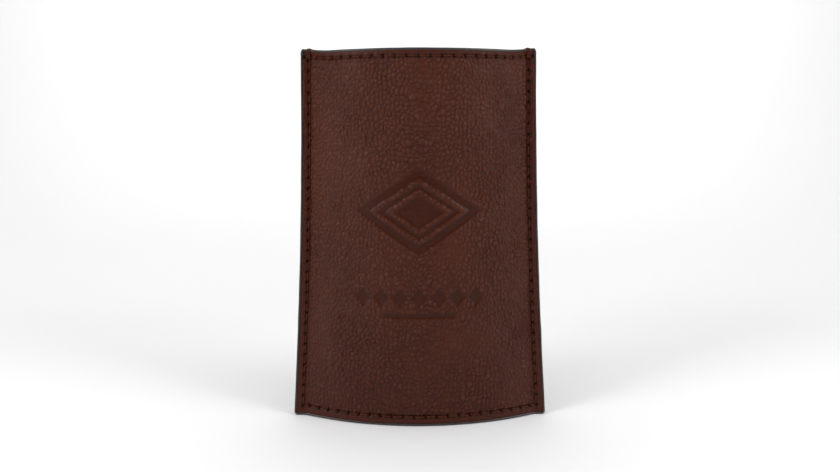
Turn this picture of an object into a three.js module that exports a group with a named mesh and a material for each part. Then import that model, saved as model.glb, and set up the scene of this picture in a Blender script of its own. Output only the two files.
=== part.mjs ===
/**
 * Card holder: an upright sleeve of two bowed leather panels.
 *
 * Each panel is a laminate of leather, board and lining. A row of stitching along the mouth holds
 * each laminate together, and a U-shaped seam along the sides and the base joins the two laminates
 * back to back. All cut edges carry a bead of edge coat. The sleeve stands on its bowed base edge,
 * and its mouth stays open as a lens.
 *
 * Every piece is laid out in the flat pattern of a panel and then carried onto the bowed panel:
 *   across  is the distance from the panel's middle, measured along its bow,
 *   height  is the distance above the floor,
 *   depth   is the distance from the plane where the two laminates meet, positive to the outside.
 * The frame is +X right, +Y back, +Z up. The origin is on the floor in the middle of the sleeve.
 */
import * as THREE from 'three';

// Driving dimensions, in millimetres. The bows are angles in radians.
const sleeveHeight = 102;      // floor to mouth edge
const seamToSeam = 68;         // along the bow of a panel, from one side seam to the other
const sideMargin = 2.6;        // side seam to the cut side edge
const baseMargin = 2.7;        // base seam to the cut base edge
const mouthMargin = 2.2;       // mouth row to the mouth edge
const baseBow = 0.45;          // angle between a panel's middle and its end, at the base
const mouthBow = 0.84;         // the same angle at the mouth
const bowGrowth = 2.6;         // exponent: how early the bow grows above the base
const seamFade = 2.5;          // stretch beside a side seam in which the panel turns flat again
const nestedHeight = 5;        // up to here both panels follow one curve, bowed to the front
const partingHeight = 70;      // above that, the height in which the back panel swings to the back
const leatherThickness = 1.0;
const boardThickness = 0.3;
const liningThickness = 0.4;
const glueLine = 0.15;         // clearance between two neighbouring layers
const threadRadius = 0.25;
const threadClearance = 0.15;  // thread to the groove that it lies in
const grooveWall = 0.13;       // width of a groove's sloped side
const coatDepth = 0.75;        // edge coat, measured inwards from the cut edge
const coatGap = 0.15;          // clearance between the edge coat and the layers that it covers
const coatRounding = 0.4;      // bevel along the edge coat's outer edges

// How finely the curved pieces are divided.
const bowCells = 12;           // cells across the bowed middle of a panel
const bodyRows = 8;            // cells up a panel between its base seam and its mouth row
const threadSides = 6;

// Places that follow from the dimensions.
const seamAcross = seamToSeam / 2;
const edgeAcross = seamAcross + sideMargin;
const bowEnd = seamAcross - seamFade;
const baseRow = baseMargin;
const mouthRow = sleeveHeight - mouthMargin;
const layerInset = coatDepth + coatGap;
const grooveHalf = threadRadius + threadClearance;
const grooveDepth = threadRadius + threadClearance;
const liningDepth = glueLine / 2;
const boardDepth = liningDepth + liningThickness + glueLine;
const leatherDepth = boardDepth + boardThickness + glueLine;
const faceDepth = leatherDepth + leatherThickness;

/** The angle that the panel has turned through where its bow ends, at a height. */
function bowAngle(height) {
  const remaining = Math.max(0, 1 - height / sleeveHeight);
  return baseBow + (mouthBow - baseBow) * (1 - remaining ** bowGrowth);
}

/** How far the back panel follows the front one: 1 nested in it at the base, -1 its mirror image. */
function backFollow(height) {
  return 1 - 2 * THREE.MathUtils.smoothstep(height, nestedHeight, nestedHeight + partingHeight);
}

/**
 * The plan curve of a panel at a height: an arc of half-angle a, then a short arc that turns back
 * to flat at the side seam, then the straight margin. Returns the point's distance from the
 * middle plane x, its rise out of the seam plane, and the slope angle there.
 */
function planCurve(across, height) {
  const a = bowAngle(height);
  const reach = Math.abs(across);
  const side = Math.sign(across);
  const seamX = seamAcross * Math.sin(a) / a;
  const crown = seamAcross * (1 - Math.cos(a)) / a;
  if (reach >= seamAcross) {
    return { x: side * (seamX + reach - seamAcross), rise: 0, slope: 0 };
  }
  if (reach > bowEnd) {
    const angle = a * (seamAcross - reach) / seamFade;
    const radius = seamFade / a;
    return {
      x: side * (seamX - radius * Math.sin(angle)),
      rise: radius * (1 - Math.cos(angle)),
      slope: side * angle,
    };
  }
  const angle = a * reach / bowEnd;
  const radius = bowEnd / a;
  return {
    x: side * radius * Math.sin(angle),
    rise: crown - radius * (1 - Math.cos(angle)),
    slope: side * angle,
  };
}

/** Carries a point of the flat pattern onto the front panel, bowed to the front (-Y). */
function onFront({ across, height, depth }) {
  const { x, rise, slope } = planCurve(across, height);
  return new THREE.Vector3(
    x + depth * Math.sin(slope),
    -rise - depth * Math.cos(slope),
    height,
  );
}

/** Carries a point of the flat pattern onto the back panel, whose outside faces the back (+Y). */
function onBack({ across, height, depth }) {
  const { x, rise, slope } = planCurve(across, height);
  const follow = backFollow(height);
  const normal = new THREE.Vector2(-follow * Math.sin(slope), Math.cos(slope)).normalize();
  return new THREE.Vector3(x + depth * normal.x, -follow * rise + depth * normal.y, height);
}

/** Both signs of a list of positive distances, with the middle, in rising order. */
function mirrored(distances) {
  return [...distances.map((distance) => -distance).reverse(), 0, ...distances];
}

/** Where a panel's grid has its columns. A grooved layer has two more beside each side seam. */
function columnStops(grooved) {
  const half = [];
  for (let cell = 1; cell <= bowCells / 2; cell += 1) {
    half.push(bowEnd * cell / (bowCells / 2));
  }
  half.push((bowEnd + seamAcross - grooveHalf - grooveWall) / 2);
  half.push(seamAcross - grooveHalf - grooveWall);
  if (grooved) {
    half.push(seamAcross - grooveHalf, seamAcross + grooveHalf);
  }
  half.push(seamAcross + grooveHalf + grooveWall, edgeAcross - layerInset);
  return mirrored(half);
}

/** The rows between the base seam and the mouth row that every layer shares. */
function bodyStops() {
  const stops = [];
  for (let row = 1; row < bodyRows; row += 1) {
    stops.push(baseRow + (mouthRow - baseRow) * row / bodyRows);
  }
  return stops;
}

/** Where a panel's grid has its rows. A grooved layer has two more beside each row of stitches. */
function rowStops(grooved) {
  const beside = (row) => (grooved
    ? [row - grooveHalf - grooveWall, row - grooveHalf, row + grooveHalf, row + grooveHalf + grooveWall]
    : [row - grooveHalf - grooveWall, row + grooveHalf + grooveWall]);
  return [layerInset, ...beside(baseRow), ...bodyStops(), ...beside(mouthRow), sleeveHeight - layerInset];
}

/** True on the floor of a stitch groove: along the mouth row, and along the U of the seam. */
function inGroove(across, height) {
  const tolerance = 1e-6;
  const reach = Math.abs(across);
  const bySide = Math.abs(reach - seamAcross) <= grooveHalf + tolerance
    && height >= baseRow - grooveHalf - tolerance;
  const byBase = Math.abs(height - baseRow) <= grooveHalf + tolerance
    && reach <= seamAcross + grooveHalf + tolerance;
  const byMouth = Math.abs(height - mouthRow) <= grooveHalf + tolerance
    && reach <= bowEnd + tolerance;
  return bySide || byBase || byMouth;
}

/**
 * Turns the diagonals of a box's -Y face, so that its cells are split as those of the +Y face are.
 * Neighbouring layers then stay parallel where the panel twists.
 */
function matchDiagonals(geometry) {
  const frontFace = geometry.groups[3];
  const corners = geometry.index;
  for (let i = frontFace.start; i < frontFace.start + frontFace.count; i += 6) {
    const [a, b, c, d] = [corners.getX(i), corners.getX(i + 1), corners.getX(i + 4), corners.getX(i + 2)];
    [a, b, c, a, c, d].forEach((corner, step) => corners.setX(i + step, corner));
  }
}

/** One layer of a laminate: a box divided at the stops, each corner carried onto the panel. */
function layer(carry, innerDepth, thickness, grooved) {
  const columns = columnStops(grooved);
  const rows = rowStops(grooved);
  const geometry = new THREE.BoxGeometry(1, 1, 1, columns.length - 1, 1, rows.length - 1);
  matchDiagonals(geometry);
  const corners = geometry.attributes.position;
  for (let i = 0; i < corners.count; i += 1) {
    const across = columns[Math.round((corners.getX(i) + 0.5) * (columns.length - 1))];
    const height = rows[Math.round((corners.getZ(i) + 0.5) * (rows.length - 1))];
    const isOutside = carry === onFront ? corners.getY(i) < 0 : corners.getY(i) > 0;
    const sunk = grooved && inGroove(across, height) ? grooveDepth : 0;
    const depth = isOutside ? innerDepth + thickness - sunk : innerDepth;
    corners.setXYZ(i, ...carry({ across, height, depth }).toArray());
  }
  geometry.computeVertexNormals();
  return geometry;
}

/**
 * A bar whose section changes along its length: a cylinder with one ring of vertices per station,
 * where place(station, side) gives each vertex, and each end closes on the mean of its ring.
 */
function bar(stationCount, sideCount, place) {
  const geometry = new THREE.CylinderGeometry(1, 1, 1, sideCount, stationCount - 1);
  const corners = geometry.attributes.position;
  for (let i = 0; i < corners.count; i += 1) {
    const station = Math.round((0.5 - corners.getY(i)) * (stationCount - 1));
    const turn = Math.atan2(corners.getX(i), corners.getZ(i)) / (2 * Math.PI);
    const side = (Math.round(turn * sideCount) + sideCount) % sideCount;
    const isCentre = Math.hypot(corners.getX(i), corners.getZ(i)) < 0.5;
    const point = isCentre ? ringCentre(station, sideCount, place) : place(station, side);
    corners.setXYZ(i, ...point.toArray());
  }
  geometry.computeVertexNormals();
  return geometry;
}

/** The mean of a bar's ring of vertices at one station. */
function ringCentre(station, sideCount, place) {
  const centre = new THREE.Vector3();
  for (let side = 0; side < sideCount; side += 1) {
    centre.add(place(station, side));
  }
  return centre.divideScalar(sideCount);
}

/**
 * The stations of the U along the left side, the base and the right side, at a distance in from
 * the cut edge. outAcross and outHeight point out of the panel, both at a mitred corner.
 */
function seamStations(acrossLine, heightLine, sideHeights, baseAcross) {
  const leftSide = sideHeights.map((height) => (
    { across: -acrossLine, height, outAcross: -1, outHeight: 0 })).reverse();
  const rightSide = sideHeights.map((height) => (
    { across: acrossLine, height, outAcross: 1, outHeight: 0 }));
  const base = baseAcross.map((across) => (
    { across, height: heightLine, outAcross: 0, outHeight: -1 }));
  return [
    ...leftSide,
    { across: -acrossLine, height: heightLine, outAcross: -1, outHeight: -1 },
    ...base,
    { across: acrossLine, height: heightLine, outAcross: 1, outHeight: -1 },
    ...rightSide,
  ];
}

/** The thread of the U-shaped seam on one panel. Each end wraps over the mouth edge. */
function seamThread(carry) {
  const sideHeights = [...bodyStops(), mouthRow];
  const baseAcross = columnStops(false).filter((across) => Math.abs(across) < seamAcross);
  const run = seamStations(seamAcross, baseRow, sideHeights, baseAcross).map((station) => (
    { ...station, depth: faceDepth, outDepth: 1, lift: 0 }));
  const wrap = (side) => [
    { across: side * seamAcross, height: sleeveHeight, depth: faceDepth, outDepth: 1, lift: 1 },
    { across: side * seamAcross, height: sleeveHeight, depth: glueLine / 2, outDepth: 0, lift: 1 },
  ].map((station) => ({ ...station, outAcross: side, outHeight: 0 }));
  const stations = [...wrap(-1).reverse(), ...run, ...wrap(1)];
  return threadAlong(stations, carry);
}

/** The thread of a mouth row, on the outside of a panel or on its lining. */
function mouthThread(carry, isOutside) {
  const liningSide = liningDepth - threadClearance - threadRadius;
  const stations = columnStops(false)
    .filter((across) => Math.abs(across) <= bowEnd)
    .map((across) => ({
      across,
      height: mouthRow,
      depth: isOutside ? faceDepth : liningSide,
      outAcross: 0,
      outHeight: -1,
      outDepth: 1,
      lift: 0,
    }));
  return threadAlong(stations, carry);
}

/** A round thread through a list of stations, each with the two directions that span its section. */
function threadAlong(stations, carry) {
  return bar(stations.length, threadSides, (index, side) => {
    const station = stations[index];
    const turn = (carry === onFront ? 1 : -1) * 2 * Math.PI * side / threadSides;
    const out = threadRadius * Math.cos(turn);
    const up = threadRadius * Math.sin(turn);
    return carry({
      across: station.across + out * station.outAcross,
      height: station.height + out * station.outHeight + up * station.lift,
      depth: station.depth + up * station.outDepth,
    });
  });
}

/** The edge coat along the sides and the base, over the edges of both laminates. */
function seamCoat() {
  const section = [
    { out: -coatDepth, depth: -faceDepth },
    { out: -coatRounding, depth: -faceDepth },
    { out: 0, depth: coatRounding - faceDepth },
    { out: 0, depth: faceDepth - coatRounding },
    { out: -coatRounding, depth: faceDepth },
    { out: -coatDepth, depth: faceDepth },
  ];
  const sideHeights = [...bodyStops(), mouthRow, sleeveHeight - coatRounding, sleeveHeight];
  const baseAcross = columnStops(false);
  const stations = seamStations(edgeAcross, 0, sideHeights, baseAcross);
  return bar(stations.length, section.length, (index, side) => {
    const station = stations[index];
    const isTip = station.height === sleeveHeight;
    const out = isTip ? Math.min(section[side].out, -coatRounding) : section[side].out;
    return onFront({
      across: station.across + out * station.outAcross,
      height: station.height + out * station.outHeight,
      depth: section[side].depth,
    });
  });
}

/** The edge coat along the mouth of one panel, notched where the seam thread wraps over it. */
function mouthCoat(carry) {
  const stops = columnStops(true);
  const tolerance = 1e-6;
  return bar(stops.length, 6, (index, side) => {
    const across = stops[index];
    const isNotch = Math.abs(Math.abs(across) - seamAcross) <= grooveHalf + tolerance;
    const sunk = isNotch ? grooveDepth : 0;
    const top = sleeveHeight - sunk;
    const outer = faceDepth - sunk;
    const bevel = isNotch ? 0.1 * coatRounding : coatRounding;
    const section = [
      { height: sleeveHeight - coatDepth, depth: liningDepth },
      { height: top - bevel, depth: liningDepth },
      { height: top, depth: liningDepth + bevel },
      { height: top, depth: outer - bevel },
      { height: top - bevel, depth: outer },
      { height: sleeveHeight - coatDepth, depth: outer },
    ];
    const corner = section[carry === onFront ? section.length - 1 - side : side];
    return carry({ across, height: corner.height, depth: corner.depth });
  });
}

const leatherMaterial = () => new THREE.MeshStandardMaterial({ color: 0x4f2d24, roughness: 0.55 });
const boardMaterial = () => new THREE.MeshStandardMaterial({ color: 0x8a6f52, roughness: 0.9 });
const liningMaterial = () => new THREE.MeshStandardMaterial({ color: 0x3a2721, roughness: 0.8 });
const threadMaterial = () => new THREE.MeshStandardMaterial({ color: 0x4a2a1e, roughness: 0.6 });
const coatMaterial = () => new THREE.MeshStandardMaterial({ color: 0x241d1b, roughness: 0.4 });

const holder = new THREE.Group();

/** Adds one named sub-part to the holder. */
function add(name, geometry, material) {
  const mesh = new THREE.Mesh(geometry, material);
  mesh.name = name;
  holder.add(mesh);
}

const panels = [
  { name: 'front', carry: onFront },
  { name: 'back', carry: onBack },
];
for (const { name, carry } of panels) {
  add(`${name}_leather`, layer(carry, leatherDepth, leatherThickness, true), leatherMaterial());
  add(`${name}_board`, layer(carry, boardDepth, boardThickness, false), boardMaterial());
  add(`${name}_lining`, layer(carry, liningDepth, liningThickness, false), liningMaterial());
  add(`seam_thread_${name}`, seamThread(carry), threadMaterial());
  add(`mouth_thread_${name}_outside`, mouthThread(carry, true), threadMaterial());
  add(`mouth_thread_${name}_inside`, mouthThread(carry, false), threadMaterial());
  add(`edge_coat_${name}_mouth`, mouthCoat(carry), coatMaterial());
}
add('edge_coat_seam', seamCoat(), coatMaterial());

export default holder;
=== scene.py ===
# %% [markdown]
# # An upright leather card sleeve
#
# Two bowed leather panels are sewn back to back along the sides and the base, and their mouth
# stays open as a lens. The solids of the model are plain. This lesson covers them with pebbled
# leather, twisted stitches and painted edges, all worked out with numpy on the same bowed
# surface that the solids follow.

# %% Load the model
import math

import bpy
import numpy as np
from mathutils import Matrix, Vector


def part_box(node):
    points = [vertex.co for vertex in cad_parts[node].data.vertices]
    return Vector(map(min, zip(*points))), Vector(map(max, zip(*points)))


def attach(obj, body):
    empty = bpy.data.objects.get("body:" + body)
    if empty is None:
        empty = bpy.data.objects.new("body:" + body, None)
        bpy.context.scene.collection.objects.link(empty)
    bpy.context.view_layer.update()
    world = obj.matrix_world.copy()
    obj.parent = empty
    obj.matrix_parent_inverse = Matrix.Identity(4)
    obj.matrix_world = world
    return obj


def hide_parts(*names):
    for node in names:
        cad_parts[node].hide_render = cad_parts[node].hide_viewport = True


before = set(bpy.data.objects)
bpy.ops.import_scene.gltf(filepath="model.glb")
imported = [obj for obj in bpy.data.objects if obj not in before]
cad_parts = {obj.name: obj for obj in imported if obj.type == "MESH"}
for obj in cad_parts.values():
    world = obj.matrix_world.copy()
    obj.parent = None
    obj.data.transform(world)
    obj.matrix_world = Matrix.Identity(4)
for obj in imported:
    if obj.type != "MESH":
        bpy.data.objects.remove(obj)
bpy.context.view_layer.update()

# %% [markdown]
# ## The flat pattern and the bowed panel
#
# A maker cuts a panel flat and bends it afterwards. So every piece here is first laid out in the
# flat pattern: how far across the panel, how high, and how deep in the laminate. One function
# then carries flat points onto the bowed panel. The bow itself is read from the model. For an
# arc, the rise over half the chord is the tangent of half the turning angle, so two boxes are
# enough: the coat of the base edge, and the coat of the mouth edge.

# %% Measure the bow
MM = 0.001                  # the lesson works in millimetres, and Blender in metres
SIDE_MARGIN = 2.6           # side seam to the cut side edge
BASE_MARGIN = 2.7           # base seam to the cut base edge
MOUTH_MARGIN = 2.2          # mouth row to the mouth edge
FACE_DEPTH = 2.075          # plane between the laminates to the face of the leather
LEATHER = 1.0               # thickness of the leather
LINING = 0.4                # thickness of the lining
BOARD = 0.3                 # thickness of the board
GLUE = 0.15                 # glue line between two layers
SEAM_FADE = 2.5             # stretch beside a side seam in which the panel turns flat again
BOW_GROWTH = 2.6            # how early the bow grows above the base
NESTED_HEIGHT = 5.0         # up to here the back panel lies in the bow of the front one
PARTING_HEIGHT = 70.0       # height in which the back panel swings to the back
THREAD_RADIUS = 0.25
CORNER_LIFT = 0.8           # how far the stiff sewn corners stand over the mouth edge
CORNER_START = 24.0         # across, where a corner begins to rise
HALVINGS = 50


def box_mm(node):
    """A node's lowest and highest corner, in millimetres."""
    low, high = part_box(node)
    return np.array(low) / MM, np.array(high) / MM


seam_low, seam_high = box_mm("edge_coat_seam")
lip_low = box_mm("edge_coat_front_mouth")[0]
HEIGHT = float(seam_high[2])
base_half_chord = float(seam_high[0]) - SIDE_MARGIN
base_rise = -float(seam_low[1]) - FACE_DEPTH
mouth_rise = -float(lip_low[1]) - FACE_DEPTH
BASE_BOW = 2 * math.atan(base_rise / base_half_chord)
SEAM_ACROSS = base_half_chord * BASE_BOW / math.sin(BASE_BOW)
EDGE_ACROSS = SEAM_ACROSS + SIDE_MARGIN
BOW_END = SEAM_ACROSS - SEAM_FADE


def bow_for_rise(rise):
    """The angle whose arc of length SEAM_ACROSS rises this far, found by halving a bracket."""
    low, high = 0.01, 1.5
    for _ in range(HALVINGS):
        middle = (low + high) / 2
        if SEAM_ACROSS * (1 - math.cos(middle)) / middle < rise:
            low = middle
        else:
            high = middle
    return low


MOUTH_BOW = bow_for_rise(mouth_rise)
print(f"half panel {SEAM_ACROSS:.2f} mm")
print(f"bow {BASE_BOW:.3f} at the base, {MOUTH_BOW:.3f} at the mouth")


# %% The bowed surface
def smoothstep(x, low, high):
    """0 below low, 1 above high, and 3t^2 - 2t^3 between them."""
    t = np.clip((x - low) / (high - low), 0, 1)
    return t * t * (3 - 2 * t)


def plan_curve(across, height):
    """An arc of half-angle a over the middle, then a short arc back to flat at the side seam,
    then the straight margin. a grows from the base to the mouth as 1 - (1 - h/H)^growth."""
    remaining = np.clip(1 - height / HEIGHT, 0, 1)
    a = BASE_BOW + (MOUTH_BOW - BASE_BOW) * (1 - remaining ** BOW_GROWTH)
    reach = np.abs(across)
    side = np.sign(across)
    seam_x = SEAM_ACROSS * np.sin(a) / a
    crown = SEAM_ACROSS * (1 - np.cos(a)) / a
    middle = a * np.minimum(reach, BOW_END) / BOW_END
    fading = a * np.clip(SEAM_ACROSS - reach, 0, SEAM_FADE) / SEAM_FADE
    in_middle = reach <= BOW_END
    x_middle = BOW_END / a * np.sin(middle)
    x_fading = seam_x - SEAM_FADE / a * np.sin(fading) + np.maximum(reach - SEAM_ACROSS, 0)
    rise_middle = crown - BOW_END / a * (1 - np.cos(middle))
    rise_fading = SEAM_FADE / a * (1 - np.cos(fading))
    x = side * np.where(in_middle, x_middle, x_fading)
    rise = np.where(in_middle, rise_middle, rise_fading)
    slope = side * np.where(in_middle, middle, fading)
    return x, rise, slope


def on_panel(across, height, depth, is_back=False):
    """Carries flat points to the bowed panel. The front bows to -Y. The back's bow is the front's
    times a factor that runs from 1 at the base to -1 at the mouth, and depth runs along the
    curve's normal, to the outside. The upper corners stand a little proud of the mouth."""
    x, rise, slope = plan_curve(across, height)
    corner_lift = CORNER_LIFT * smoothstep(np.abs(across), CORNER_START, EDGE_ACROSS)
    up = height + corner_lift * np.clip(height / HEIGHT, 0, 1) ** 4
    if not is_back:
        return np.stack([x + depth * np.sin(slope), -rise - depth * np.cos(slope), up], -1)
    follow = 1 - 2 * smoothstep(height, NESTED_HEIGHT, NESTED_HEIGHT + PARTING_HEIGHT)
    normal_x = -follow * np.sin(slope)
    normal_y = np.cos(slope)
    length = np.hypot(normal_x, normal_y)
    return np.stack(
        [x + depth * normal_x / length, -follow * rise + depth * normal_y / length, up], -1)


# %% [markdown]
# ## Noise for leather
#
# Pebbled leather is a skin of small domes with narrow creases between them. Cell noise gives
# just that: scatter one point in each square of a grid, and at every place compare the distance
# to the nearest point with the distance to the second nearest. The difference is zero on a
# crease and grows towards the middle of a pebble. A second, smoother noise bends the cells, and
# wrinkles the skin where it is pressed.

# %% Noise helpers
TABLE = 256                  # random values per side of a noise table, which then repeats


def value_noise(x, y, seed):
    """Random values on a unit grid, blended with 3t^2 - 2t^3 in both directions, in -1..1."""
    table = np.random.default_rng(seed).uniform(-1, 1, (TABLE, TABLE))
    x0, y0 = np.floor(x).astype(int), np.floor(y).astype(int)
    tx, ty = x - x0, y - y0
    tx, ty = tx * tx * (3 - 2 * tx), ty * ty * (3 - 2 * ty)

    def corner(i, j):
        return table[(x0 + i) % TABLE, (y0 + j) % TABLE]

    low = corner(0, 0) * (1 - tx) + corner(1, 0) * tx
    high = corner(0, 1) * (1 - tx) + corner(1, 1) * tx
    return low * (1 - ty) + high * ty


def layered_noise(x, y, seed, octaves=3):
    """A sum of value noises, each twice as fine and half as strong as the one before."""
    total = sum(value_noise(x * 2 ** k, y * 2 ** k, seed + k) / 2 ** k for k in range(octaves))
    return total / (2 - 2 ** (1 - octaves))


def cell_noise(x, y, seed):
    """Second nearest minus nearest distance to one scattered point per grid square, and a random
    value that belongs to the nearest point."""
    rng = np.random.default_rng(seed)
    jitter = rng.uniform(0.08, 0.92, (TABLE, TABLE, 2))
    label = rng.uniform(-1, 1, (TABLE, TABLE))
    x0, y0 = np.floor(x).astype(int), np.floor(y).astype(int)
    nearest = np.full(x.shape, 9.0)
    second = np.full(x.shape, 9.0)
    owner = np.zeros(x.shape)
    for i in (-1, 0, 1):
        for j in (-1, 0, 1):
            square = (x0 + i) % TABLE, (y0 + j) % TABLE
            cell = jitter[square]
            distance = np.hypot(x0 + i + cell[..., 0] - x, y0 + j + cell[..., 1] - y)
            closer = distance < nearest
            second = np.where(closer, nearest, np.minimum(second, distance))
            owner = np.where(closer, label[square], owner)
            nearest = np.where(closer, distance, nearest)
    return second - nearest, owner


# %% [markdown]
# ## Where the stitches go
#
# An awl or a machine pricks the holes first, at one even pitch, and everything else follows
# them: the leather dimples at each hole, and each stitch spans two neighbours. The U-shaped
# seam goes down one side, along the base and up the other. It starts one pitch below the mouth,
# because its last stitch turns over the mouth edge and binds both panels there. The mouth row
# was sewn before the panels were joined, so it runs on past the side seams.

# %% Stitch holes
PITCH = 2.95
MOUTH_OVERRUN = 1.35         # how far the mouth row runs past a side seam
base_row = BASE_MARGIN
mouth_row = HEIGHT - MOUTH_MARGIN
first_hole = HEIGHT - PITCH


def spaced(start, stop, pitch):
    """Evenly spaced places from start to stop, as near to the pitch as a whole count allows."""
    count = max(1, round(abs(stop - start) / pitch))
    return np.linspace(start, stop, count + 1)


side_heights = spaced(first_hole, base_row, PITCH)
base_acrosses = spaced(-SEAM_ACROSS, SEAM_ACROSS, PITCH)
seam_holes = np.concatenate([
    np.stack([np.full(side_heights.size, -SEAM_ACROSS), side_heights], -1),
    np.stack([base_acrosses, np.full(base_acrosses.size, base_row)], -1)[1:-1],
    np.stack([np.full(side_heights.size, SEAM_ACROSS), side_heights[::-1]], -1),
])
mouth_acrosses = spaced(-SEAM_ACROSS - MOUTH_OVERRUN, SEAM_ACROSS + MOUTH_OVERRUN, PITCH)
mouth_holes = np.stack([mouth_acrosses, np.full(mouth_acrosses.size, mouth_row)], -1)
print(f"{len(seam_holes)} holes in the U seam, {len(mouth_holes)} in a mouth row")

# %% [markdown]
# ## The pressed mark
#
# A maker presses a mark into damp leather with a heated die, which flattens the grain and leaves
# it darker and shinier. This one is plain geometry: nested lozenges over a row of small lozenges
# and a short bar. A lozenge is where |x|/a + |y|/b stays below 1, so that sum, scaled back to
# millimetres, serves as a distance to its outline.

# %% Mark
MARK_HEIGHT = 59.0           # middle of the nested lozenges above the floor
MARK_HALF = (16.4, 11.6)     # half width and half height of the outer lozenge
ROW_HEIGHT = 35.9
ROW_COUNT = 7
ROW_PITCH = 4.9
BAR_HEIGHT = 31.0
BAR_HALF = (9.2, 0.75)
SMALL_HALF = (2.2, 2.7)      # a small lozenge of the row
MARK_BANDS = [(0.0, 2.2), (3.3, 4.6), (5.7, 20.0)]   # pressed between these inward distances
MARK_EDGE = 0.22             # half width of the die's soft edge


def lozenge(x, y, half_width, half_height):
    """Distance inside a lozenge's outline: positive inside, in millimetres."""
    slant = half_width * half_height / math.hypot(half_width, half_height)
    return slant * (1 - np.abs(x) / half_width - np.abs(y) / half_height)


def pressed_area(across, height):
    """1 where the die pressed the leather, 0 elsewhere, with a soft edge. The nested lozenges
    leave bands of plain grain between them."""
    inside = lozenge(across, height - MARK_HEIGHT, *MARK_HALF)
    mark = np.zeros_like(across)
    for start, stop in MARK_BANDS:
        past_start = smoothstep(inside, start - MARK_EDGE, start + MARK_EDGE)
        before_stop = 1 - smoothstep(inside, stop - MARK_EDGE, stop + MARK_EDGE)
        mark = np.maximum(mark, np.minimum(past_start, before_stop))
    place = np.clip(np.round(across / ROW_PITCH), -(ROW_COUNT // 2), ROW_COUNT // 2)
    small = lozenge(across - place * ROW_PITCH, height - ROW_HEIGHT, *SMALL_HALF)
    mark = np.maximum(mark, smoothstep(small, -MARK_EDGE, MARK_EDGE))
    bar_x = BAR_HALF[0] - np.abs(across)
    bar_y = BAR_HALF[1] - np.abs(height - BAR_HEIGHT)
    return np.maximum(mark, smoothstep(np.minimum(bar_x, bar_y), -MARK_EDGE, MARK_EDGE))


# %% [markdown]
# ## The skin of a panel
#
# All the relief of the leather is one height field over the flat pattern: pebbles, a finer grain
# on them, wrinkles near the base and the edges, the pressed mark, a shallow furrow along each
# row of stitches, and a dimple at each hole. The margin outside the seam is pressed smoother by
# the finishing of the edge. The same pass gives the masks that the material needs later.

# %% Leather relief
PEBBLE = (1.10, 1.36)        # mean width and height of a pebble
FINE_PEBBLE = (0.52, 0.58)   # the same for the finer grain on the pebbles
PEBBLE_RELIEF = 0.38
PEBBLE_VARIETY = 0.42        # how much one pebble's height differs from another's
PEBBLE_MEAN = 0.75           # this grain height lies level with the plain face
BEND = 0.75                  # how far the slow noise bends the cells, in cells
BEND_LENGTH = 3.4
BASE_WRINKLE = 0.075
SIDE_WRINKLE = 0.05
WAVE = 0.10
MARGIN_CALM = 0.62           # share of the grain that the finishing of the edge smooths away
DIE_CALM = 0.86              # share of it that the die presses flat
MARK_DEPTH = 0.36
HOLE_DEPTH = 0.5
HOLE_RADIUS = 0.55
FURROW_DEPTH = 0.16
FURROW_WIDTH = 0.5


def near_holes(across, height, holes, radius):
    """The strongest of exp(-(d/r)^2) over the holes, with d the distance to a hole."""
    nearest = np.full(across.shape, 99.0)
    for hole_across, hole_height in holes:
        nearest = np.minimum(nearest, (across - hole_across) ** 2 + (height - hole_height) ** 2)
    return np.exp(-nearest / radius ** 2)


def furrow_distance(across, height):
    """Distance to the nearest row of stitches."""
    reach = np.abs(across)
    to_side = np.hypot(reach - SEAM_ACROSS, np.maximum(base_row - height, 0))
    to_base = np.hypot(np.maximum(reach - SEAM_ACROSS, 0), height - base_row)
    to_mouth = np.hypot(np.maximum(reach - SEAM_ACROSS - MOUTH_OVERRUN, 0), height - mouth_row)
    return np.minimum(np.minimum(to_side, to_base), to_mouth)


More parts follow.
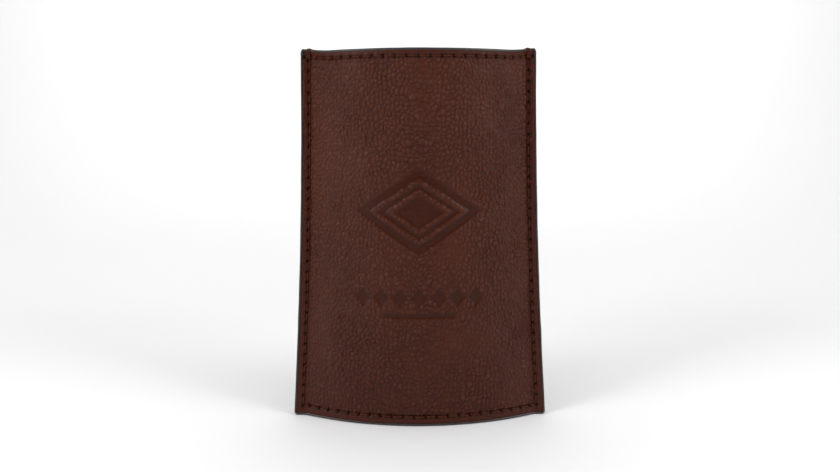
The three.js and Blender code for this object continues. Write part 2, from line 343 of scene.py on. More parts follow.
def leather_relief(across, height, seed, is_marked):
    """Height of the skin over its plain face, in millimetres, and five masks from 0 to 1. A
    pebble is tanh(1.5 gap) times a height of its own, and a wrinkle is a ridge where a stretched
    noise crosses zero."""
    bend_x = BEND * layered_noise(across / BEND_LENGTH, height / BEND_LENGTH, seed)
    bend_y = BEND * layered_noise(across / BEND_LENGTH, height / BEND_LENGTH, seed + 7)
    gap, owner = cell_noise(
        across / PEBBLE[0] + bend_x + 90, height / PEBBLE[1] + bend_y + 90, seed)
    fine_gap, fine_owner = cell_noise(
        across / FINE_PEBBLE[0] + 50, height / FINE_PEBBLE[1] + 50, seed + 1)
    pebble = (1.25 * np.tanh(1.5 * gap) * (1 + PEBBLE_VARIETY * owner)
              + 0.22 * np.tanh(3 * fine_gap) + 0.08 * fine_owner)
    strength = 0.80 + 0.42 * layered_noise(across / 9, height / 12, seed + 3)
    reach = np.abs(across)
    margin = np.maximum.reduce([
        smoothstep(reach, SEAM_ACROSS + 0.1, SEAM_ACROSS + 0.7),
        1 - smoothstep(height, base_row - 0.7, base_row - 0.1),
        smoothstep(height, mouth_row + 0.1, mouth_row + 0.7),
    ])
    pressed = pressed_area(across, height) if is_marked else np.zeros_like(across)
    strength = strength * (1 - MARGIN_CALM * margin) * (1 - DIE_CALM * pressed)
    near_base = np.exp(-np.maximum(height - 4, 0) / 11)
    cross_wrinkle = 0.25 - np.abs(
        layered_noise(across / 5.5 + bend_x, height / 1.25 + bend_y, seed + 11))
    near_side = smoothstep(reach, SEAM_ACROSS - 11, SEAM_ACROSS - 2)
    up_wrinkle = 0.25 - np.abs(layered_noise(across / 1.3 + bend_x, height / 8.5, seed + 17))
    wrinkles = BASE_WRINKLE * near_base * cross_wrinkle + SIDE_WRINKLE * near_side * up_wrinkle
    waves = WAVE * layered_noise(across / 16, height / 19, seed + 23, 2)
    hole = near_holes(across, height, np.concatenate([seam_holes, mouth_holes]), HOLE_RADIUS)
    furrow = np.exp(-(furrow_distance(across, height) / FURROW_WIDTH) ** 2)
    grain = PEBBLE_RELIEF * strength * (pebble - PEBBLE_MEAN)
    relief = grain + wrinkles * (1 - pressed) + waves
    relief = relief - MARK_DEPTH * pressed - FURROW_DEPTH * furrow - HOLE_DEPTH * hole
    # the crease mask also darkens the leather's colour, as painted shade
    crease = np.clip(1 - 2.0 * gap, 0, 1) * strength
    return relief, {"crease": crease, "pressed": pressed, "hole": hole, "margin": margin,
                    "furrow": furrow}


# %% [markdown]
# ## From arrays to meshes
#
# A panel is a closed sheet. Its outside carries the relief, so it is a fine grid. Its inside is
# glued down and never seen, so it is a grid a quarter as fine, and a strip of triangles sews the
# two borders together. Each fine border edge makes a triangle with the nearest coarse corner,
# and one more triangle closes the step wherever that corner changes.

# %% Mesh helpers
def add_mesh(name, points_mm, faces, masks=None):
    """Makes an object at the origin from points in millimetres and a list of face arrays."""
    mesh = bpy.data.meshes.new(name)
    sizes = np.concatenate([np.full(len(f), f.shape[1]) for f in faces])
    loops = np.concatenate([f.ravel() for f in faces]).astype(np.int32)
    mesh.vertices.add(len(points_mm))
    mesh.vertices.foreach_set("co", (points_mm * MM).astype(np.float32).ravel())
    mesh.loops.add(loops.size)
    mesh.loops.foreach_set("vertex_index", loops)
    mesh.polygons.add(sizes.size)
    mesh.polygons.foreach_set("loop_start", (np.cumsum(sizes) - sizes).astype(np.int32))
    mesh.polygons.foreach_set("use_smooth", np.full(sizes.size, True))
    for key, values in (masks or {}).items():
        layer = mesh.attributes.new(key, "FLOAT", "POINT")
        layer.data.foreach_set("value", values.astype(np.float32))
    mesh.update(calc_edges=True)
    mesh.validate()
    obj = bpy.data.objects.new(name, mesh)
    bpy.context.scene.collection.objects.link(obj)
    return obj


def grid_quads(rows, columns, offset=0, flip=False):
    """The quads between neighbouring points of a grid stored row by row."""
    index = offset + np.arange(rows * columns).reshape(rows, columns)
    quads = np.stack([index[:-1, :-1], index[:-1, 1:], index[1:, 1:], index[1:, :-1]], -1)
    quads = quads.reshape(-1, 4)
    return quads[:, ::-1] if flip else quads


def border(rows, columns, offset=0):
    """The indices once round a grid's border, counterclockwise from the first point."""
    index = offset + np.arange(rows * columns).reshape(rows, columns)
    return np.concatenate([index[0, :-1], index[:-1, -1], index[-1, :0:-1], index[:0:-1, 0]])


def sew_borders(fine, coarse, ratio, flip):
    """Triangles between a fine loop and a coarse loop with a ratio-th of its points."""
    count = fine.size
    here = np.arange(count)
    corner = ((here + ratio // 2) // ratio) % coarse.size
    after = np.roll(corner, -1)
    following = np.roll(fine, -1)
    fans = np.stack([fine, coarse[corner], following], -1)
    step = corner != after
    steps = np.stack([following[step], coarse[corner[step]], coarse[after[step]]], -1)
    triangles = np.concatenate([fans, steps])
    return triangles[:, ::-1] if flip else triangles


def rounded_corner(across, height, half_width, low, high, radius):
    """Pulls a rectangle's corners in to arcs: each quarter square of side radius is squeezed
    onto its quarter disc, x sqrt(1 - y^2/2)."""
    corner_x = half_width - radius
    u = np.clip((np.abs(across) - corner_x) / radius, 0, 1)
    v = np.maximum(np.clip((low + radius - height) / radius, 0, 1),
                   np.clip((height - high + radius) / radius, 0, 1))
    to_top = height > (low + high) / 2
    squeezed_u = u * np.sqrt(1 - v * v / 2)
    squeezed_v = v * np.sqrt(1 - u * u / 2)
    new_across = np.sign(across) * (corner_x + radius * squeezed_u)
    upper = high - radius + radius * squeezed_v
    lower = low + radius - radius * squeezed_v
    new_height = np.where(to_top, upper, lower)
    both = (u > 0) & (v > 0)
    return np.where(both, new_across, across), np.where(both, new_height, height)


# %% Panel of leather
LEATHER_INSET = 0.75         # the skin runs this near the cut edge, under the paint
SKIN_CORNER = 1.0            # radius of the skin's corners
FINE_STEP = 0.295
RATIO = 4                    # fine cells along one coarse cell


def grid_lines(start, stop, step):
    """Even lines whose cells the coarse side can group by RATIO."""
    cells = int(math.ceil((stop - start) / step / RATIO)) * RATIO
    return np.linspace(start, stop, cells + 1)


def leather_panel(name, is_back, seed):
    """The closed skin of one panel: fine relief outside, coarse and plain inside."""
    half = EDGE_ACROSS - LEATHER_INSET
    low, high = LEATHER_INSET, HEIGHT - LEATHER_INSET
    across, height = np.meshgrid(
        grid_lines(-half, half, FINE_STEP), grid_lines(low, high, FINE_STEP))
    rows, columns = across.shape
    across, height = rounded_corner(across, height, half, low, high, SKIN_CORNER)
    relief, masks = leather_relief(across, height, seed, not is_back)
    outside = on_panel(across, height, FACE_DEPTH + relief, is_back).reshape(-1, 3)
    inner_across, inner_height = across[::RATIO, ::RATIO], height[::RATIO, ::RATIO]
    inner_rows, inner_columns = inner_across.shape
    inner_depth = np.full(inner_across.shape, FACE_DEPTH - LEATHER)
    inside = on_panel(inner_across, inner_height, inner_depth, is_back).reshape(-1, 3)
    start = rows * columns
    outer_border = border(rows, columns)
    inner_border = border(inner_rows, inner_columns, start)
    faces = [
        grid_quads(rows, columns, 0, flip=is_back),
        grid_quads(inner_rows, inner_columns, start, flip=not is_back),
        sew_borders(outer_border, inner_border, RATIO, is_back),
    ]
    pad = np.zeros(inner_rows * inner_columns)
    masks = {key: np.concatenate([mask.ravel(), pad]) for key, mask in masks.items()}
    piece = add_mesh(name, np.concatenate([outside, inside]), faces, masks)
    print(f"{name}: {len(piece.data.polygons)} faces")
    return piece


front_skin = leather_panel("front_skin", False, 11)
back_skin = leather_panel("back_skin", True, 47)


# %% [markdown]
# ## Board and lining
#
# Behind the leather lie a thin board that keeps the bow, and a lining that the cards slide on.
# Both are plain sheets of one thickness, so one function makes them. The lining's inner face
# gets a slight quilting from the glue, and dimples where the mouth row comes through.

# %% Inner layers
INNER_LINES = (121, 161)     # grid lines across and up
INNER_TOP_INSET = 0.6


def inner_layer(name, is_back, inner_depth, thickness, relief):
    """A closed sheet of one thickness that follows the panel: two grids and a rim of quads."""
    half = EDGE_ACROSS - LEATHER_INSET
    across, height = np.meshgrid(
        np.linspace(-half, half, INNER_LINES[0]),
        np.linspace(LEATHER_INSET, HEIGHT - INNER_TOP_INSET, INNER_LINES[1]))
    rows, columns = across.shape
    ripple = relief * layered_noise(across / 6, height / 8, 71, 2)
    calm = smoothstep(SEAM_ACROSS - np.abs(across), 1.0, 6.0) * smoothstep(height, 12, 30)
    dimple = 0.1 * (relief > 0) * near_holes(across, height, mouth_holes, 0.6)
    inner = on_panel(across, height, inner_depth + calm * ripple + dimple, is_back).reshape(-1, 3)
    outer = on_panel(across, height, np.full(across.shape, inner_depth + thickness), is_back)
    start = rows * columns
    near, far = border(rows, columns), border(rows, columns, start)
    rim = np.stack([near, np.roll(near, -1), np.roll(far, -1), far], -1)
    faces = [
        grid_quads(rows, columns, start, flip=is_back),
        grid_quads(rows, columns, 0, flip=not is_back),
        rim if not is_back else rim[:, ::-1],
    ]
    return add_mesh(name, np.concatenate([inner, outer.reshape(-1, 3)]), faces)


lining_depth = GLUE / 2
board_depth = lining_depth + LINING + GLUE
front_lining_piece = inner_layer("front_lining_sheet", False, lining_depth, LINING, 0.05)
back_lining_piece = inner_layer("back_lining_sheet", True, lining_depth, LINING, 0.05)
front_board_piece = inner_layer("front_board_sheet", False, board_depth, BOARD, 0.0)
back_board_piece = inner_layer("back_board_sheet", True, board_depth, BOARD, 0.0)
print("linings and boards made")

# %% [markdown]
# ## Stitches
#
# The thread is laid up from plies, so its surface is a helix. A ply's ridge is made by letting
# the radius of a tube swell twice round its section, and turning that swelling along the tube.
# Each stitch is its own short tube: it comes up out of one hole, lies over the leather with a
# slight slant, and dives into the next.

# %% Thread
STITCH_SIDES = 8
STITCH_STATIONS = 9
TWIST_LENGTH = 1.5           # the lay of the plies: one full turn of the swelling
PLY_SWELL = 0.17
STITCH_LENGTH = 0.93         # share of the pitch between two holes that a stitch spans
STITCH_LIFT = 0.03
STITCH_SLANT = 0.07
PLUNGE = 0.62                # how deep a stitch dives at its ends
SETTLE = 0.14                # how far the thread has sunk into the leather's face


def tube_points(path, lateral, outward, radius, twist):
    """Rings round paths. path, lateral and outward are (..., stations, 3), and the section's
    radius is r (1 + swell cos(2 (angle - twist)))."""
    angle = np.arange(STITCH_SIDES) * 2 * math.pi / STITCH_SIDES
    swell = radius * (1 + PLY_SWELL * np.cos(2 * (angle - twist[..., None])))
    ring = (lateral[..., None, :] * (swell * np.cos(angle))[..., None]
            + outward[..., None, :] * (swell * np.sin(angle))[..., None])
    return path[..., None, :] + ring


def tube_faces(tubes, stations, flip):
    """Quads along each tube, and an octagon at both ends of each."""
    ring = np.arange(STITCH_SIDES)
    base = np.arange(tubes)[:, None, None] * stations * STITCH_SIDES
    here = base + np.arange(stations - 1)[None, :, None] * STITCH_SIDES + ring
    beside = base + np.arange(stations - 1)[None, :, None] * STITCH_SIDES + np.roll(ring, -1)
    quads = np.stack([here, beside, beside + STITCH_SIDES, here + STITCH_SIDES], -1).reshape(-1, 4)
    first = base[:, 0, :] + ring[::-1]
    last = base[:, 0, :] + (stations - 1) * STITCH_SIDES + ring
    if flip:
        return [quads[:, ::-1], first[:, ::-1], last[:, ::-1]]
    return [quads, first, last]


def stitch_row(starts, stops, surface_depth, outside, seed):
    """Flat paths of stitches between holes. Height over the leather is a flat arch that plunges
    at both ends: lift - plunge |2t - 1|^7."""
    rng = np.random.default_rng(seed)
    t = np.linspace(0, 1, STITCH_STATIONS)
    span = stops - starts
    along = span / np.hypot(span[:, 0], span[:, 1])[:, None]
    across_row = np.stack([along[:, 1], -along[:, 0]], -1)
    slant = STITCH_SLANT + rng.normal(0, 0.02, len(starts))
    shift = rng.normal(0, 0.025, len(starts))
    end = 2 * t - 1
    side = slant[:, None] * end + shift[:, None]
    share = 0.5 + 0.5 * end * STITCH_LENGTH
    flat = starts[:, None, :] + span[:, None, :] * share[None, :, None]
    flat = flat + across_row[:, None, :] * side[..., None]
    lift = STITCH_LIFT + rng.normal(0, 0.02, len(starts))[:, None]
    depth = surface_depth + outside * (lift - PLUNGE * np.abs(end) ** 7)
    turns = 2 * math.pi * t * PITCH / TWIST_LENGTH
    twist = turns[None, :] + rng.uniform(0, 3, len(starts))[:, None]
    return flat, depth, across_row, twist


def stitches(rows, is_back):
    """Carries rows of flat stitch paths onto a panel and builds all their tubes at once."""
    points = []
    for flat, depth, across_row, twist in rows:
        place = on_panel(flat[..., 0], flat[..., 1], depth, is_back)
        step = 0.02
        side = on_panel(flat[..., 0] + step * across_row[:, None, 0],
                        flat[..., 1] + step * across_row[:, None, 1], depth, is_back) - place
        out = on_panel(flat[..., 0], flat[..., 1], depth + step, is_back) - place
        side = side / np.linalg.norm(side, axis=-1, keepdims=True)
        out = out / np.linalg.norm(out, axis=-1, keepdims=True)
        points.append(tube_points(place, side, out, THREAD_RADIUS, twist))
    return np.concatenate(points)


WRAP_STATIONS = 15
WRAP_SPREADS = (-0.44, 0.0, 0.44)     # three turns lie side by side on the edge
WRAP_LENGTH = 5.2            # thread in one turn over the edge
WRAP_SINK = 0.10             # how far a turn bites into the edge


def edge_wrap(side, is_back, spread):
    """One turn over the mouth edge: up the face from the first hole, over the edge, and down to
    the plane between the panels. The turns start in one hole and spread out as they climb."""
    t = np.linspace(0, 1, WRAP_STATIONS)
    climb = smoothstep(t, 0.0, 0.62)
    over = smoothstep(t, 0.5, 1.0)
    summit = HEIGHT - WRAP_SINK - abs(spread) * 0.16
    height = first_hole + 0.05 + (summit - first_hole) * climb
    depth = FACE_DEPTH - 0.02 - PLUNGE * (1 - smoothstep(t, 0, 0.16)) - FACE_DEPTH * over
    across = side * SEAM_ACROSS + spread * smoothstep(t, 0.0, 0.4)
    place = on_panel(across, height, depth, is_back)
    along = np.gradient(place, axis=0)
    along = along / np.linalg.norm(along, axis=-1, keepdims=True)
    sideways = np.tile([1.0, 0.0, 0.0], (WRAP_STATIONS, 1))
    out = np.cross(along, sideways)
    twist = 2 * math.pi * t * WRAP_LENGTH / TWIST_LENGTH
    return tube_points(place, sideways, out, THREAD_RADIUS * 1.05, twist)


def seam_thread(name, is_back, seed):
    """All stitches of the U seam on one panel, and the turns over the mouth edge."""
    row = stitch_row(seam_holes[:-1], seam_holes[1:], FACE_DEPTH - SETTLE, 1, seed)
    tubes = stitches([row], is_back)
    wraps = np.stack([edge_wrap(side, is_back, spread)
                      for side in (-1, 1) for spread in WRAP_SPREADS])
    faces = tube_faces(len(tubes), STITCH_STATIONS, not is_back)
    offset = tubes.reshape(-1, 3).shape[0]
    wrap_faces = [f + offset for f in tube_faces(len(wraps), WRAP_STATIONS, False)]
    points = np.concatenate([tubes.reshape(-1, 3), wraps.reshape(-1, 3)])
    return add_mesh(name, points, faces + wrap_faces)


def mouth_thread(name, is_back, seed, is_outside):
    """The stitches of a mouth row, on the leather or on the lining."""
    holes = mouth_holes if is_outside else mouth_holes[np.abs(mouth_holes[:, 0]) < BOW_END]
    depth = FACE_DEPTH - SETTLE if is_outside else lining_depth + 0.02
    row = stitch_row(holes[:-1], holes[1:], depth, 1 if is_outside else -1, seed)
    tubes = stitches([row], is_back)
    faces = tube_faces(len(tubes), STITCH_STATIONS, not is_back)
    return add_mesh(name, tubes.reshape(-1, 3), faces)


thread_pieces = {
    "seam_thread_front": seam_thread("seam_stitches_front", False, 5),
    "seam_thread_back": seam_thread("seam_stitches_back", True, 6),
    "mouth_thread_front_outside": mouth_thread("mouth_stitches_front", False, 7, True),
    "mouth_thread_front_inside": mouth_thread("mouth_stitches_front_lining", False, 8, False),
    "mouth_thread_back_outside": mouth_thread("mouth_stitches_back", True, 9, True),
    "mouth_thread_back_inside": mouth_thread("mouth_stitches_back_lining", True, 10, False),
}
print("stitch faces:", sum(len(p.data.polygons) for p in thread_pieces.values()))

# %% [markdown]
# ## Painted edges
#
# The cut edges are painted in several coats, which round over into a bead and lap a little over
# the face of the leather. The bead is a closed profile carried along the edge: a superellipse,
# slightly pinched in the middle of the seam, where two laminates meet. A slow noise makes it
# swell and thin as hand-laid paint does.

# %% Edge paint
LAP = 0.85                   # how far the bead laps over the face
BEAD_SIDES = 20
BEAD_POWER = 3.4             # 2 would be an ellipse, and more is squarer
SEAM_BEAD_PROUD = 0.12       # the paint's thickness on the face beside the seam
MOUTH_BEAD_PROUD = 0.10
SEAM_PINCH = 0.1
CORNER = 1.1                 # radius of the sleeve's lower corners
SEAM_BEAD_STEP = 0.5
MOUTH_BEAD_STEP = 0.4
SEAM_TAPER = 0.55            # how far the seam bead draws in at the mouth
MOUTH_TAPER = 0.3            # the same for a mouth bead at its two ends
THREAD_BITE = 0.12           # how deep the turns of thread bite into the mouth bead


def bead_profile(half_thickness, pinch):
    """A closed profile as (out, depth): out is 0 at the edge and -LAP inside, and the curve is
    |x|^n + |y|^n = 1 with n = BEAD_POWER, pinched at its middle."""
    angle = np.linspace(0, 2 * math.pi, BEAD_SIDES, endpoint=False)
    cosine, sine = np.cos(angle), np.sin(angle)
    out = np.sign(cosine) * np.abs(cosine) ** (2 / BEAD_POWER)
    depth = np.sign(sine) * np.abs(sine) ** (2 / BEAD_POWER)
    dent = pinch * np.exp(-(depth / 0.22) ** 2) * (out > 0)
    return LAP * (out - 1) / 2 - dent, depth * half_thickness


def close_tube(points, flip):
    """Faces of one tube given as rings, with an n-gon at both ends."""
    stations, sides = points.shape[:2]
    ring = np.arange(sides)
    here = np.arange(stations - 1)[:, None] * sides + ring
    beside = np.arange(stations - 1)[:, None] * sides + np.roll(ring, -1)
    quads = np.stack([here, beside, beside + sides, here + sides], -1).reshape(-1, 4)
    ends = [ring[None, ::-1], (stations - 1) * sides + ring[None, :]]
    faces = [quads] + ends
    return [f[:, ::-1] for f in faces] if flip else faces


def seam_bead(name):
    """The bead along the left side, the base and the right side, round both lower corners."""
    side = spaced(HEIGHT - 0.05, CORNER, SEAM_BEAD_STEP)
    base = spaced(-EDGE_ACROSS + CORNER, EDGE_ACROSS - CORNER, SEAM_BEAD_STEP)
    turn = np.linspace(0, math.pi / 2, 7)[1:-1]
    left = np.stack([np.full(side.size, -EDGE_ACROSS), side], -1)
    corner = np.stack([-EDGE_ACROSS + CORNER * (1 - np.cos(turn)), CORNER * (1 - np.sin(turn))], -1)
    bottom = np.stack([base, np.zeros(base.size)], -1)
    path = np.concatenate([left, corner, bottom, corner[::-1] * [-1, 1], left[::-1] * [-1, 1]])
    normal = np.concatenate([
        np.tile([-1.0, 0.0], (side.size, 1)),
        np.stack([-np.cos(turn), -np.sin(turn)], -1),
        np.tile([0.0, -1.0], (base.size, 1)),
        np.stack([np.cos(turn), -np.sin(turn)], -1)[::-1],
        np.tile([1.0, 0.0], (side.size, 1)),
    ])
    out, depth = bead_profile(FACE_DEPTH + SEAM_BEAD_PROUD, SEAM_PINCH)
    length = np.arange(len(path)) * SEAM_BEAD_STEP
    swell = 0.05 * layered_noise(length / 5, length * 0, 31, 2) - 0.03
    tip = smoothstep(path[:, 1], HEIGHT - 0.9, HEIGHT) * SEAM_TAPER
    shrink = (np.minimum(swell, 0) - tip)[:, None] * (out > -0.5)
    reach = out[None, :] + shrink
    flat_across = path[:, 0, None] + normal[:, 0, None] * reach
    flat_height = path[:, 1, None] + normal[:, 1, None] * reach
    full_depth = depth[None, :] * (1 + 0.012 * np.sin(length / 3.1))[:, None]
    points = on_panel(flat_across, flat_height, full_depth)
    points[..., 2] = np.maximum(points[..., 2], 0)
    return add_mesh(name, points.reshape(-1, 3), close_tube(points, True))


def mouth_bead(name, is_back):
    """The bead along a mouth edge, bitten a little where the seam thread turns over it."""
    half = EDGE_ACROSS - 0.35
    across = spaced(-half, half, MOUTH_BEAD_STEP)
    thickness = FACE_DEPTH - lining_depth
    out, depth = bead_profile(thickness / 2 + MOUTH_BEAD_PROUD, 0.0)
    middle = lining_depth + thickness / 2
    bite = THREAD_BITE * np.exp(-((np.abs(across) - SEAM_ACROSS) / 0.45) ** 2)
    swell = 0.04 * layered_noise(across / 5, across * 0, 37 + is_back, 2) - 0.03
    tip = MOUTH_TAPER * smoothstep(np.abs(across), half - 0.8, half)
    shrink = (np.minimum(swell, 0) - bite - tip)[:, None] * (out > -0.5)
    height = HEIGHT + out[None, :] + shrink
    points = on_panel(across[:, None], height, np.tile(middle + depth, (across.size, 1)), is_back)
    return add_mesh(name, points.reshape(-1, 3), close_tube(points, is_back))


seam_bead_piece = seam_bead("edge_paint_seam")
front_bead_piece = mouth_bead("edge_paint_front_mouth", False)
back_bead_piece = mouth_bead("edge_paint_back_mouth", True)
print("beads made:", len(seam_bead_piece.data.polygons), len(front_bead_piece.data.polygons))

# %% [markdown]
# ## Shader maths as Python
#
# A material is a graph of nodes, but its formulas read better as Python. This small class wraps
# one socket, so that 1 - mask * 0.5 adds the Math nodes itself.

# %% Shader helpers
class Value:
    """A float socket of a node tree that takes part in Python arithmetic."""

    def __init__(self, shader, socket):
        self.shader = shader
        self.socket = socket

    def math(self, operation, other, swap=False):
        first, second = (other, self) if swap else (self, other)
        return self.shader.node("ShaderNodeMath", {"operation": operation}, {0: first, 1: second})

    def __add__(self, other):
        return self.math("ADD", other)

    def __radd__(self, other):
        return self.math("ADD", other, True)

    def __sub__(self, other):
        return self.math("SUBTRACT", other)

    def __rsub__(self, other):
        return self.math("SUBTRACT", other, True)

    def __mul__(self, other):
        return self.math("MULTIPLY", other)

    def __rmul__(self, other):
        return self.math("MULTIPLY", other, True)


class Shader:
    """A material under construction. node() makes any node: its settings are set first, then its
    inputs, which are numbers, colours or the Values of other nodes."""

    def __init__(self, name):
        self.material = bpy.data.materials.new(name)
        self.material.use_nodes = True
        self.tree = self.material.node_tree
        self.surface = self.tree.nodes["Principled BSDF"]

    def node(self, kind, settings=None, inputs=None, output=0):
        node = self.tree.nodes.new(kind)
        for key, value in (settings or {}).items():
            setattr(node, key, value)
        for key, value in (inputs or {}).items():
            self.feed(node.inputs[key], value)
        return Value(self, node.outputs[output])

    def feed(self, socket, value):
        if isinstance(value, Value):
            self.tree.links.new(value.socket, socket)
        elif hasattr(value, "__len__") and socket.type == "RGBA":
            socket.default_value = (*value, 1.0)
        else:
            socket.default_value = value

    def mask(self, name):
        """A mask that the mesh carries on its points."""
        return self.node("ShaderNodeAttribute", {"attribute_name": name}, output="Fac")

    def position(self):
        return self.node("ShaderNodeTexCoord", output="Object")

    def noise(self, per_metre, detail=3.0, roughness=0.55, stretch=None):
        """Cloudy noise in Object coordinates, from 0 to 1, and drawn out along an axis where
        stretch is below 1."""
        place = self.position()
        if stretch:
            place = self.node("ShaderNodeMapping", {}, {"Vector": place, "Scale": stretch})
        sockets = {"Vector": place, "Scale": per_metre, "Detail": detail, "Roughness": roughness}
        return self.node("ShaderNodeTexNoise", {}, sockets, output="Fac")

    def mix(self, factor, first, second):
        """The first colour where factor is 0, and the second where it is 1."""
        node = self.tree.nodes.new("ShaderNodeMix")
        node.data_type = "RGBA"
        colors = [socket for socket in node.inputs if socket.type == "RGBA"]
        self.feed(node.inputs[0], factor)
        self.feed(colors[0], first)
        self.feed(colors[1], second)
        return Value(self, [socket for socket in node.outputs if socket.type == "RGBA"][0])

    def bump(self, height, strength, distance):
        """A normal tilted by a height, whose unit stands for distance in metres."""
        sockets = {"Height": height, "Strength": strength, "Distance": distance}
        return self.node("ShaderNodeBump", {}, sockets, output="Normal")

    def finish(self, **inputs):
        """Feeds the surface shader's sockets, with _ for a space, and returns the material."""
        for key, value in inputs.items():
            self.feed(self.surface.inputs[key.replace("_", " ")], value)
        return self.material


# %% [markdown]
# ## Leather
#
# The hide is dyed dark brown and finished with a satin top coat. Painted shade darkens the
# creases, the furrows along the stitch rows and the stitch holes, and the smoothed margins are
# redder. The die has burnt its mark darker and glossier. Real hide is cloudy too, so two slow
# noises shift the brown, and a painted shade darkens it towards the base. The sharp part of the
# creases and the finest pores are too small for the mesh, so they are a bump.

# %% Leather material
BROWN = (0.067, 0.0144, 0.0054)
BROWN_LIGHT = (0.096, 0.0235, 0.0100)
BROWN_DARK = (0.026, 0.0046, 0.0014)
MARGIN_RED = (0.058, 0.0102, 0.0046)
PRESSED_BROWN = (0.034, 0.0052, 0.0008)
# painted shadow in the stitch holes, near black
HOLE_SHADOW_BROWN = (0.004, 0.0012, 0.0008)
BASE_SHADE_HEIGHT = 0.055       # in metres: below this the colour carries a painted shade, a little darker
BASE_SHADE_SHARE = 0.26         # how much darker the painted shade is, at the base
LEATHER_GLOSS = 0.16         # specular level under the satin top coat
GRAIN_BUMP = 0.0001          # metres of bump for one unit of height


def leather_material():
    """Two browns by a slow noise, then one mask after another mixed over them."""
    shader = Shader("leather_pebbled_brown")
    crease, pressed, hole = shader.mask("crease"), shader.mask("pressed"), shader.mask("hole")
    margin, furrow = shader.mask("margin"), shader.mask("furrow")
    cloud = shader.noise(55, 4)
    mottle = shader.noise(420, 3)
    pores = shader.noise(5200, 2, 0.6)
    color = shader.mix(cloud * 0.9, BROWN, BROWN_LIGHT)
    height = shader.node("ShaderNodeSeparateXYZ", {}, {"Vector": shader.position()}, output="Z")
    base_shade = shader.node("ShaderNodeMapRange", {},
                          {"Value": height, "From Min": 0.0, "From Max": BASE_SHADE_HEIGHT,
                           "To Min": BASE_SHADE_SHARE, "To Max": 0.0}, output="Result")
    # painted shade: the colour darkens towards the base
    color = shader.mix(base_shade, color, BROWN_DARK)
    color = shader.mix(mottle * 0.35, color, BROWN_DARK)
    color = shader.mix(margin * 0.7, color, MARGIN_RED)
    # painted shade: the creases between the pebbles are darkened
    color = shader.mix(crease * 0.72, color, BROWN_DARK)
    color = shader.mix(pressed * 0.88, color, PRESSED_BROWN)
    # painted shade: the furrow along each stitch row is darkened
    color = shader.mix(furrow * 0.5, color, BROWN_DARK)
    # painted shadow: the stitch holes are filled with near black
    color = shader.mix(hole, color, HOLE_SHADOW_BROWN)
    roughness = 0.33 + 0.1 * mottle + crease * 0.2 - pressed * 0.06 + hole * 0.3
    fine = shader.bump(pores * 0.14 + mottle * 0.08 - crease * 1.5, 1.0, GRAIN_BUMP)
    return shader.finish(Base_Color=color, Roughness=roughness, Normal=fine,
                         Specular_IOR_Level=LEATHER_GLOSS)


leather = leather_material()

# %% [markdown]
# ## Thread, paint, lining and board
#
# The thread is waxed, and its light fibres are brighter than the leather that it lies in. The
# paint is near black with a soft gloss and a trace of orange peel. The lining is a thin
# smooth skin, and the board is raw brown fibre, seen only if the sleeve is taken apart.

# %% Other materials
THREAD_DARK = (0.026, 0.0056, 0.0021)
THREAD_LIGHT = (0.098, 0.0262, 0.0118)
THREAD_WORN = (0.048, 0.0108, 0.0046)
PAINT_DARK = (0.0125, 0.0090, 0.0082)
PAINT_LIGHT = (0.034, 0.0265, 0.0245)
PAINT_SCUFF = (0.045, 0.034, 0.031)
LINING_DARK = (0.034, 0.0175, 0.0125)
LINING_LIGHT = (0.052, 0.0275, 0.020)
LINING_GRAIN = (0.02, 0.01, 0.0075)
FIBRE_DARK = (0.16, 0.10, 0.058)
FIBRE_LIGHT = (0.30, 0.20, 0.125)


def thread_material():
    """Dark and light fibres drawn out upwards, with a slow change of colour over them."""
    shader = Shader("thread_waxed_brown")
    fibres = shader.noise(2600, 3, 0.6, stretch=(1.0, 1.0, 0.4))
    fading = shader.noise(160, 2)
    color = shader.mix(fibres, THREAD_DARK, THREAD_LIGHT)
    color = shader.mix(fading * 0.4, color, THREAD_WORN)
    normal = shader.bump(fibres, 0.35, 0.00008)
    return shader.finish(Base_Color=color, Roughness=0.46 + 0.15 * fibres, Normal=normal,
                         Specular_IOR_Level=0.10)


def paint_material():
    """Near black with a fine peel, and faint scuffs that run along the height."""
    shader = Shader("edge_paint_black_brown")
    peel = shader.noise(900, 2)
    scuffs = shader.noise(2400, 4, 0.65, stretch=(1.0, 1.0, 0.15))
    color = shader.mix(peel, PAINT_DARK, PAINT_LIGHT)
    color = shader.mix(scuffs * 0.35, color, PAINT_SCUFF)
    normal = shader.bump(peel, 0.2, 0.0001)
    return shader.finish(Base_Color=color, Roughness=0.3 + 0.22 * scuffs, Normal=normal,
                         Specular_IOR_Level=0.5)


def lining_material():
    """A cloudy brown with a fine darker grain, which is also its bump."""
    shader = Shader("lining_skin_brown")
    cloud = shader.noise(80, 3)
    grain = shader.noise(3000, 3, 0.6)
    color = shader.mix(cloud, LINING_DARK, LINING_LIGHT)
    color = shader.mix(grain * 0.35, color, LINING_GRAIN)
    normal = shader.bump(grain, 0.4, 0.00008)
    return shader.finish(Base_Color=color, Roughness=0.62 + 0.15 * grain, Normal=normal)


def board_material():
    """Pale and dark fibres that lie across the board."""
    shader = Shader("board_raw_fibre")
    fibre = shader.noise(1500, 4, 0.65, stretch=(0.3, 0.3, 1.0))
    color = shader.mix(fibre, FIBRE_DARK, FIBRE_LIGHT)
    normal = shader.bump(fibre, 0.4, 0.0001)
    return shader.finish(Base_Color=color, Roughness=0.85 + 0.1 * fibre, Normal=normal)


thread, paint = thread_material(), paint_material()
lining, board = lining_material(), board_material()
print("materials:", [m.name for m in (leather, thread, paint, lining, board)])

# %% [markdown]
# ## Hand the pieces over
#
# Every piece stands for one solid, rides on the sleeve's single body, and takes one material.

# %% Ride and replace
def hand_over(piece, node, material):
    """Gives a piece its finish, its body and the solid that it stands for."""
    piece.data.materials.append(material)
    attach(piece, "root")
    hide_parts(node)


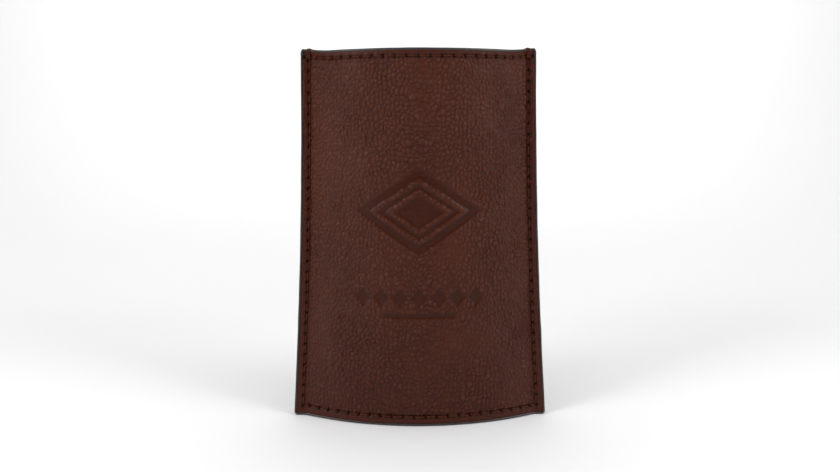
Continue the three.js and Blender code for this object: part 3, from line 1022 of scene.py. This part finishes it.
hand_over(front_skin, "front_leather", leather)
hand_over(back_skin, "back_leather", leather)
hand_over(front_lining_piece, "front_lining", lining)
hand_over(back_lining_piece, "back_lining", lining)
hand_over(front_board_piece, "front_board", board)
hand_over(back_board_piece, "back_board", board)
for node, piece in thread_pieces.items():
    hand_over(piece, node, thread)
hand_over(seam_bead_piece, "edge_coat_seam", paint)
hand_over(front_bead_piece, "edge_coat_front_mouth", paint)
hand_over(back_bead_piece, "edge_coat_back_mouth", paint)

# %% [markdown]
# ## Floor, light and camera
#
# The sleeve stands on a white sweep. Two tall soft lights, left and right, lay a sheen on each
# flank of the bow and leave its middle darker. A wide light overhead whitens the floor, and one
# that faces away from the sleeve whitens the wall. The camera stands close, just below the
# mouth, so the base edge bows down and the mouth edge up.

# %% Stage
SWEEP_FRONT = -900.0
SWEEP_BACK = 400.0           # here the floor begins to curve up
SWEEP_RADIUS = 500.0
SWEEP_TOP = 1600.0
SWEEP_HALF = 1600.0
SKY_STRENGTH = 0.10          # even light from all sides, just enough to lift the shadows


def white_sweep():
    """A floor that runs back and curves up into a wall: a profile of floor, quarter circle and
    wall, carried along X."""
    turn = np.linspace(0, math.pi / 2, 17)
    y = SWEEP_BACK + SWEEP_RADIUS * np.sin(turn)
    y = np.concatenate([[SWEEP_FRONT], y, [SWEEP_BACK + SWEEP_RADIUS]])
    z = np.concatenate([[0.0], SWEEP_RADIUS * (1 - np.cos(turn)), [SWEEP_TOP]])
    sides = (-SWEEP_HALF, SWEEP_HALF)
    points = np.stack([np.stack([np.full(y.size, x), y, z], -1) for x in sides])
    floor = add_mesh("white_sweep", points.reshape(-1, 3), [grid_quads(2, y.size, flip=True)])
    shader = Shader("sweep_white")
    tint = shader.noise(3, 2)
    color = shader.mix(tint, (0.80, 0.80, 0.805), (0.83, 0.83, 0.83))
    floor.data.materials.append(shader.finish(Base_Color=color, Roughness=0.9))


def soft_light(name, place, aim, size, watts):
    """A rectangular area light at place, in metres, turned towards aim."""
    data = bpy.data.lights.new(name, "AREA")
    data.shape = "RECTANGLE"
    data.size, data.size_y = size
    data.energy = watts
    light = bpy.data.objects.new(name, data)
    bpy.context.scene.collection.objects.link(light)
    direction = np.array(aim) - np.array(place)
    light.location = place
    yaw = math.atan2(direction[0], -direction[1])
    pitch = math.atan2(math.hypot(direction[0], direction[1]), -direction[2])
    light.rotation_euler = (pitch, 0.0, yaw + math.pi)


white_sweep()
soft_light("light_left", (-0.42, -0.26, 0.26), (0, 0, 0.08), (0.20, 0.34), 1.7)
soft_light("light_right", (0.42, -0.22, 0.26), (0, 0, 0.08), (0.20, 0.34), 1.45)
soft_light("light_top", (0.0, -0.06, 0.85), (0, 0.0, 0.0), (0.9, 0.6), 4.9)
soft_light("light_wall", (0.0, 0.35, 0.75), (0, 1.35, 0.40), (1.8, 0.3), 8.5)
world = bpy.data.worlds.new("studio")
world.use_nodes = True
world.node_tree.nodes["Background"].inputs["Color"].default_value = (1, 1, 1, 1)
world.node_tree.nodes["Background"].inputs["Strength"].default_value = SKY_STRENGTH
bpy.context.scene.world = world
bpy.context.scene.view_settings.view_transform = "Standard"

# %% Camera
EYE_HEIGHT = 0.0858
EYE_DISTANCE = 0.2048
TILT_DOWN = 2.0              # degrees
ROLL = 0.2
camera_data = bpy.data.cameras.new("camera")
camera_data.sensor_width = 36.0
camera_data.lens = 31.3
camera_data.shift_x = 0.0016
camera_data.shift_y = -0.12
camera_data.clip_start = 0.01
camera = bpy.data.objects.new("camera", camera_data)
bpy.context.scene.collection.objects.link(camera)
camera.location = (0.0, -EYE_DISTANCE, EYE_HEIGHT)
camera.rotation_euler = (math.radians(90 - TILT_DOWN), math.radians(ROLL), 0.0)
bpy.context.scene.camera = camera
